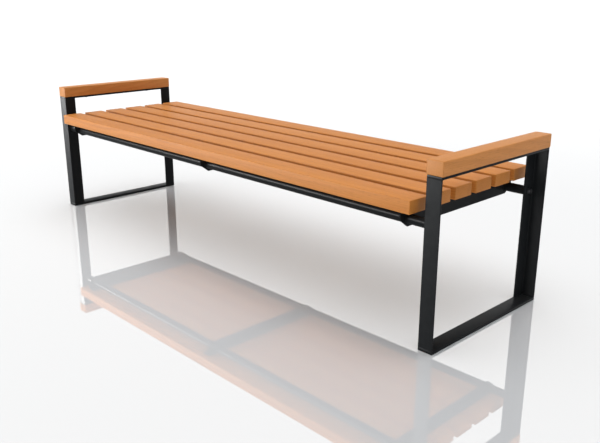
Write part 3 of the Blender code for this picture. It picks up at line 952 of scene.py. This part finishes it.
@dataclass
class Welds:
    """Weld beads of one size."""

    name: str
    radius: float

    def build(self, paths: Sequence[Sequence[Vector]], tree: bpy.types.NodeTree, steel: bpy.types.Material
              ) -> None:
        """Run a bead along each path.

        Args:
            paths: the points of each bead.
            tree: the weld_bead tree.
            steel: the beads' material.
        """
        mesh = bpy.data.meshes.new(self.name)
        points: list[Vector] = []
        edges: list[tuple[int, int]] = []
        for path in paths:
            closed = (path[0] - path[-1]).length < 1e-6
            kept = path[:-1] if closed else path
            start = len(points)
            points.extend(kept)
            edges.extend((start + step, start + step + 1) for step in range(len(kept) - 1))
            if closed:
                edges.append((start + len(kept) - 1, start))
        mesh.from_pydata(points, edges, [])
        beads = set_inputs(linked(self.name, mesh), tree, {"Radius": self.radius, "Material": steel})
        place(beads, steel)


@dataclass
class Fixings:
    """The bolts and washers that hold the tubes to the posts, and the armrests' screws."""

    bolt_radius: float = 0.005
    across_flats: float = 0.017
    washer_radius: float = 0.0105
    washer_gap: float = 0.0005
    edge: float = 0.0003
    screw_turn: float = 0.7
    sides: int = 48

    def build(self, zinc: bpy.types.Material) -> None:
        """Make the bolts, washers and armrest screws, and dress the plugs.

        Args:
            zinc: their material.
        """
        bolts, washers = bmesh.new(), bmesh.new()
        names = [f"{end}_{side}_tube" for end in ENDS for side in SIDES]
        for name in names:
            out = -1 if name.startswith("left") else 1
            low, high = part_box(f"{name}_washer")
            centre = (low + high) / 2
            inner_x, outer_x = (low.x, high.x) if out > 0 else (high.x, low.x)
            add_shape(washers, self.washer(high.x - low.x), along_x(inner_x, centre, out))
            low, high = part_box(f"{name}_bolt")
            seat_x = outer_x + out * self.edge
            head = abs((high.x if out > 0 else low.x) - seat_x)
            add_shape(bolts, self.bolt(head, high.x - low.x - head), along_x(seat_x, centre, out))
            plug = frame["nodes"][f"{name}_plug"].data
            plug.materials.clear()
            plug.materials.append(zinc)
        place(from_bmesh("tube_bolts", bolts), zinc, [f"{name}_bolt" for name in names])
        place(from_bmesh("tube_washers", washers), zinc, [f"{name}_washer" for name in names])
        self.build_armrest_screws(zinc)

    def washer(self, thickness: float) -> bmesh.types.BMesh:
        """Return a washer about Z, its underside at zero."""
        edge, bore, outer = self.edge, self.bolt_radius + self.washer_gap, self.washer_radius
        return lathe([Level(bore, 0.0), Level(outer - edge, 0.0), Level(outer, edge),
                      Level(outer, thickness - edge), Level(outer - edge, thickness), Level(bore, thickness)],
                     self.sides, hollow=True)

    def bolt(self, head: float, length: float) -> bmesh.types.BMesh:
        """Return a hexagon bolt about Z, its head up from zero."""
        shank, corner, flat = self.bolt_radius, self.across_flats / math.sqrt(3), self.across_flats / 2
        return lathe([Level(0.0, -length), Level(shank * 0.8, -length), Level(shank, -length + shank * 0.2),
                      Level(shank, -0.0002), Level(flat * 0.97, 0.0), Level(corner, self.edge, True),
                      Level(corner, head * 0.80, True, 0.45), Level(flat * 0.97, head),
                      Level(flat * 0.80, head), Level(flat * 0.76, head - self.edge),
                      Level(0.0, head - self.edge)], self.sides)

    def build_armrest_screws(self, zinc: bpy.types.Material) -> None:
        """Make the screws under the armrests, each turned a little further than the last."""
        screws = bmesh.new()
        nodes = [f"{end}_armrest_screw_{side}" for end in ENDS for side in SIDES]
        for index, node in enumerate(nodes):
            low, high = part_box(node)
            screw, spot = WoodScrew((high.x - low.x) / 2, 0.0043, 0.004, 0.003, 0.0022).build(low, high)
            turn = Matrix.Rotation(self.screw_turn * index, 4, "Z")
            add_shape(screws, screw, Matrix.Translation(spot) @ turn)
        place(from_bmesh("armrest_screws", screws), zinc, nodes)


# ---- studio


def shine_on(lamp: bpy.types.Object, endings: tuple[str, ...]) -> None:
    """Let a light shine only on the pieces whose names have these endings."""
    lit = bpy.data.collections.new(f"{lamp.name}_pieces")
    for piece in bpy.data.objects:
        if piece.name.endswith(endings):
            lit.objects.link(piece)
    lamp.light_linking.receiver_collection = lit


@dataclass(frozen=True)
class FrontLight:
    """A rectangular light in front of the bench, on its left.

    With endings it only draws highlights, along the pieces whose names have them. Without, it draws none.
    """

    name: str
    power: float
    endings: tuple[str, ...] = ()
    size: tuple[float, float] = (3.0, 1.0)
    location: Point3 = (-2.3, -3.4, 0.70)
    aim: Point3 = (0.0, 0.0, 0.35)

    def hang(self) -> None:
        """Hang the light."""
        light = bpy.data.lights.new(self.name, "AREA")
        light.shape = "RECTANGLE"
        light.size, light.size_y = self.size
        light.energy = self.power
        lamp = bpy.data.objects.new(self.name, light)
        lamp.location = self.location
        lamp.rotation_euler = (Vector(self.aim) - Vector(self.location)).to_track_quat("-Z", "Y").to_euler()
        bpy.context.scene.collection.objects.link(lamp)
        if self.endings:
            lamp.visible_diffuse = False
            shine_on(lamp, self.endings)
        else:
            lamp.visible_glossy = False


@dataclass(frozen=True)
class Studio:
    """The pale floor, the soft light and the camera."""

    floor_size: float = 400.0
    around: float = 0.40
    lean: Point3 = (-0.30, -0.35, 0.0)
    overhead: float = 4.1
    narrowness: float = 6.5
    key_power: float = 68.0
    floor_power: float = 2.3
    floor_tint: Colour = (0.892, 1.0, 1.138)
    floor_softness: float = 80.0
    eye: Point3 = (2.185, -1.8635, 1.0)
    tilt: float = 72.467
    heading: float = 46.146
    lens: float = 43.94

    def build(self) -> None:
        """Set the studio up."""
        self.build_floor()
        self.build_dome()
        FrontLight("key", self.key_power).hang()
        self.build_floor_light()
        self.build_camera()

    def build_floor(self) -> None:
        """Lay the floor just under the bench."""
        half = self.floor_size / 2
        level = CAD_BOX[0].z - 0.0002
        mesh = bpy.data.meshes.new("studio_floor")
        corners = [(-half, -half, level), (half, -half, level), (half, half, level), (-half, half, level)]
        mesh.from_pydata(corners, [], [(0, 1, 2, 3)])
        mesh.materials.append(FloorFinish().material())
        linked("studio_floor", mesh)

    def build_dome(self) -> None:
        """Light the bench from overhead and a little from all round, less from its right."""
        scene = bpy.context.scene
        world = bpy.data.worlds.new("soft_dome")
        scene.world = world
        world.use_nodes = True
        nt = Tree(world.node_tree)
        backdrop = world.node_tree.nodes["Background"]
        way = nt.add("ShaderNodeTexCoord").outputs["Generated"]
        height = nt.math("MAXIMUM", nt.add("ShaderNodeSeparateXYZ", {}, Vector=way).outputs[2], 0.0)
        overhead = nt.math("MULTIPLY", nt.math("POWER", height, self.narrowness), self.overhead)
        lean = nt.add("ShaderNodeVectorMath", {"operation": "DOT_PRODUCT"}, i0=way, i1=self.lean).outputs[1]
        low = nt.math("POWER", nt.math("SUBTRACT", 1.0, height), 2.0)
        around = nt.math("MULTIPLY", nt.math("MAXIMUM", nt.math("ADD", lean, 1.0), 0.0), self.around)
        around = nt.math("MULTIPLY", around, low)
        lit = nt.math("ADD", overhead, around)
        seen = nt.ramp(height, 0.04, 0.26, 1.35, 1.0)
        soft = nt.add("ShaderNodeLightPath").outputs["Is Diffuse Ray"]
        strength = nt.add("ShaderNodeMix", {"data_type": "FLOAT"}, i0=soft, i2=seen, i3=lit).outputs[0]
        world.node_tree.links.new(strength, backdrop.inputs["Strength"])
        backdrop.inputs["Color"].default_value = (1.0, 1.0, 1.0, 1.0)
        scene.view_settings.view_transform = "Standard"

    def build_floor_light(self) -> None:
        """Light the floor from above, softly, so that the bench shades it."""
        light = bpy.data.lights.new("floor_light", "SUN")
        light.energy = self.floor_power
        light.color = self.floor_tint
        light.angle = math.radians(self.floor_softness)
        lamp = bpy.data.objects.new("floor_light", light)
        lamp.visible_glossy = False
        bpy.context.scene.collection.objects.link(lamp)
        shine_on(lamp, ("studio_floor",))

    def build_camera(self) -> None:
        """Stand the camera at the bench's right front corner, at head height of a seated person."""
        data = bpy.data.cameras.new("camera")
        data.lens = self.lens
        data.sensor_width = 36.0
        data.clip_end = 1000.0
        camera = bpy.data.objects.new("camera", data)
        camera.location = self.eye
        camera.rotation_euler = Euler((math.radians(self.tilt), 0.0, math.radians(self.heading)))
        bpy.context.scene.collection.objects.link(camera)
        bpy.context.scene.camera = camera


def main() -> None:
    """Build the bench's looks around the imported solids."""
    logging.basicConfig(level=logging.INFO, format="%(name)s: %(message)s")
    grain, dust = board_grain_group(), settled_dust_group()
    repeat, bead = repeat_tree(), weld_tree()
    slat_wood = WoodFinish().material(grain)
    armrest_wood = WoodFinish(name="oiled_hardwood_across", grain=Grain.ALONG_Y, light=(0.700, 0.292, 0.080),
                              dark=(0.500, 0.178, 0.036)).material(grain)
    steel = PowderCoatFinish().material(dust)
    zinc = BlackZincFinish().material(dust)
    studio = Studio()
    studio.build()
    Seat().build(repeat, slat_wood, zinc)
    under = UnderFrame()
    under.build(steel)
    hoop_paths: list[list[Vector]] = []
    for number, (name, end) in enumerate(ENDS.items()):
        end_frame = EndFrame(name, end, 11.0 + number)
        end_frame.build(steel, armrest_wood)
        hoop_paths += end_frame.weld_paths
    Welds("hoop_welds", 0.0028).build(hoop_paths, bead, steel)
    Welds("tube_welds", 0.0018).build(under.weld_paths, bead, steel)
    Fixings().build(zinc)
    FrontLight("tube_gloss", 1800.0, ("_pipe",), (7.0, 0.4), (-4.0, -3.4, 2.0), (-1.2, -0.25, 0.38)).hang()
    FrontLight("wood_gloss", 230.0, ("slats", "_board")).hang()
    FrontLight("steel_gloss", 3600.0, ("_post_angle", "_bar"), (6.0, 2.6), (-2.6, -3.6, 1.3)).hang()


if __name__ == "__main__":
    main()
